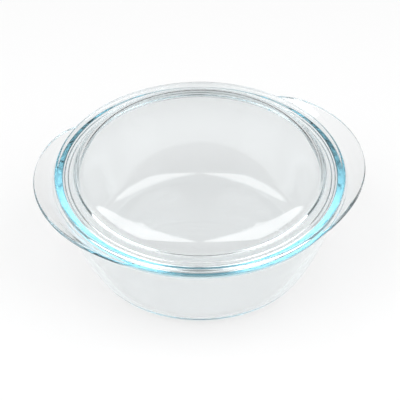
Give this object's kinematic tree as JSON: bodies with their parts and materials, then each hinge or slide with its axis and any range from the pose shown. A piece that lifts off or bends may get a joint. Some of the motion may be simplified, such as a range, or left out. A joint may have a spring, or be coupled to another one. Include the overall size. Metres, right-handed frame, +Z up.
{
  "type": "covered casserole dish",
  "caption": "Round covered casserole dish in clear pressed glass: a flared bowl with two wide, turned-up tab handles in one with its rim, and a low domed lid whose flat flange lies on the rim.",
  "frame": {"origin": "centre of the dish's footprint, on the level of the flat base", "axes": "+Z up, the direction in which the lid lifts off; +X through the middle of one handle, so the handles lie along X; +Y across the handles, and the dish is the same seen from either side"},
  "size_m": [0.285, 0.25, 0.115],
  "materials": {
    "clear_glass": "clear, polished, very faint blue-green tint"
  },
  "bodies": {
    "bowl": {"bowl": "clear_glass"},
    "lid": {"lid": "clear_glass"}
  },
  "joints": [
    {"name": "lid_lift", "type": "slide", "parent": "bowl", "child": "lid", "axis": [0, 0, 1], "range_m": [0, 0.15]}
  ]
}
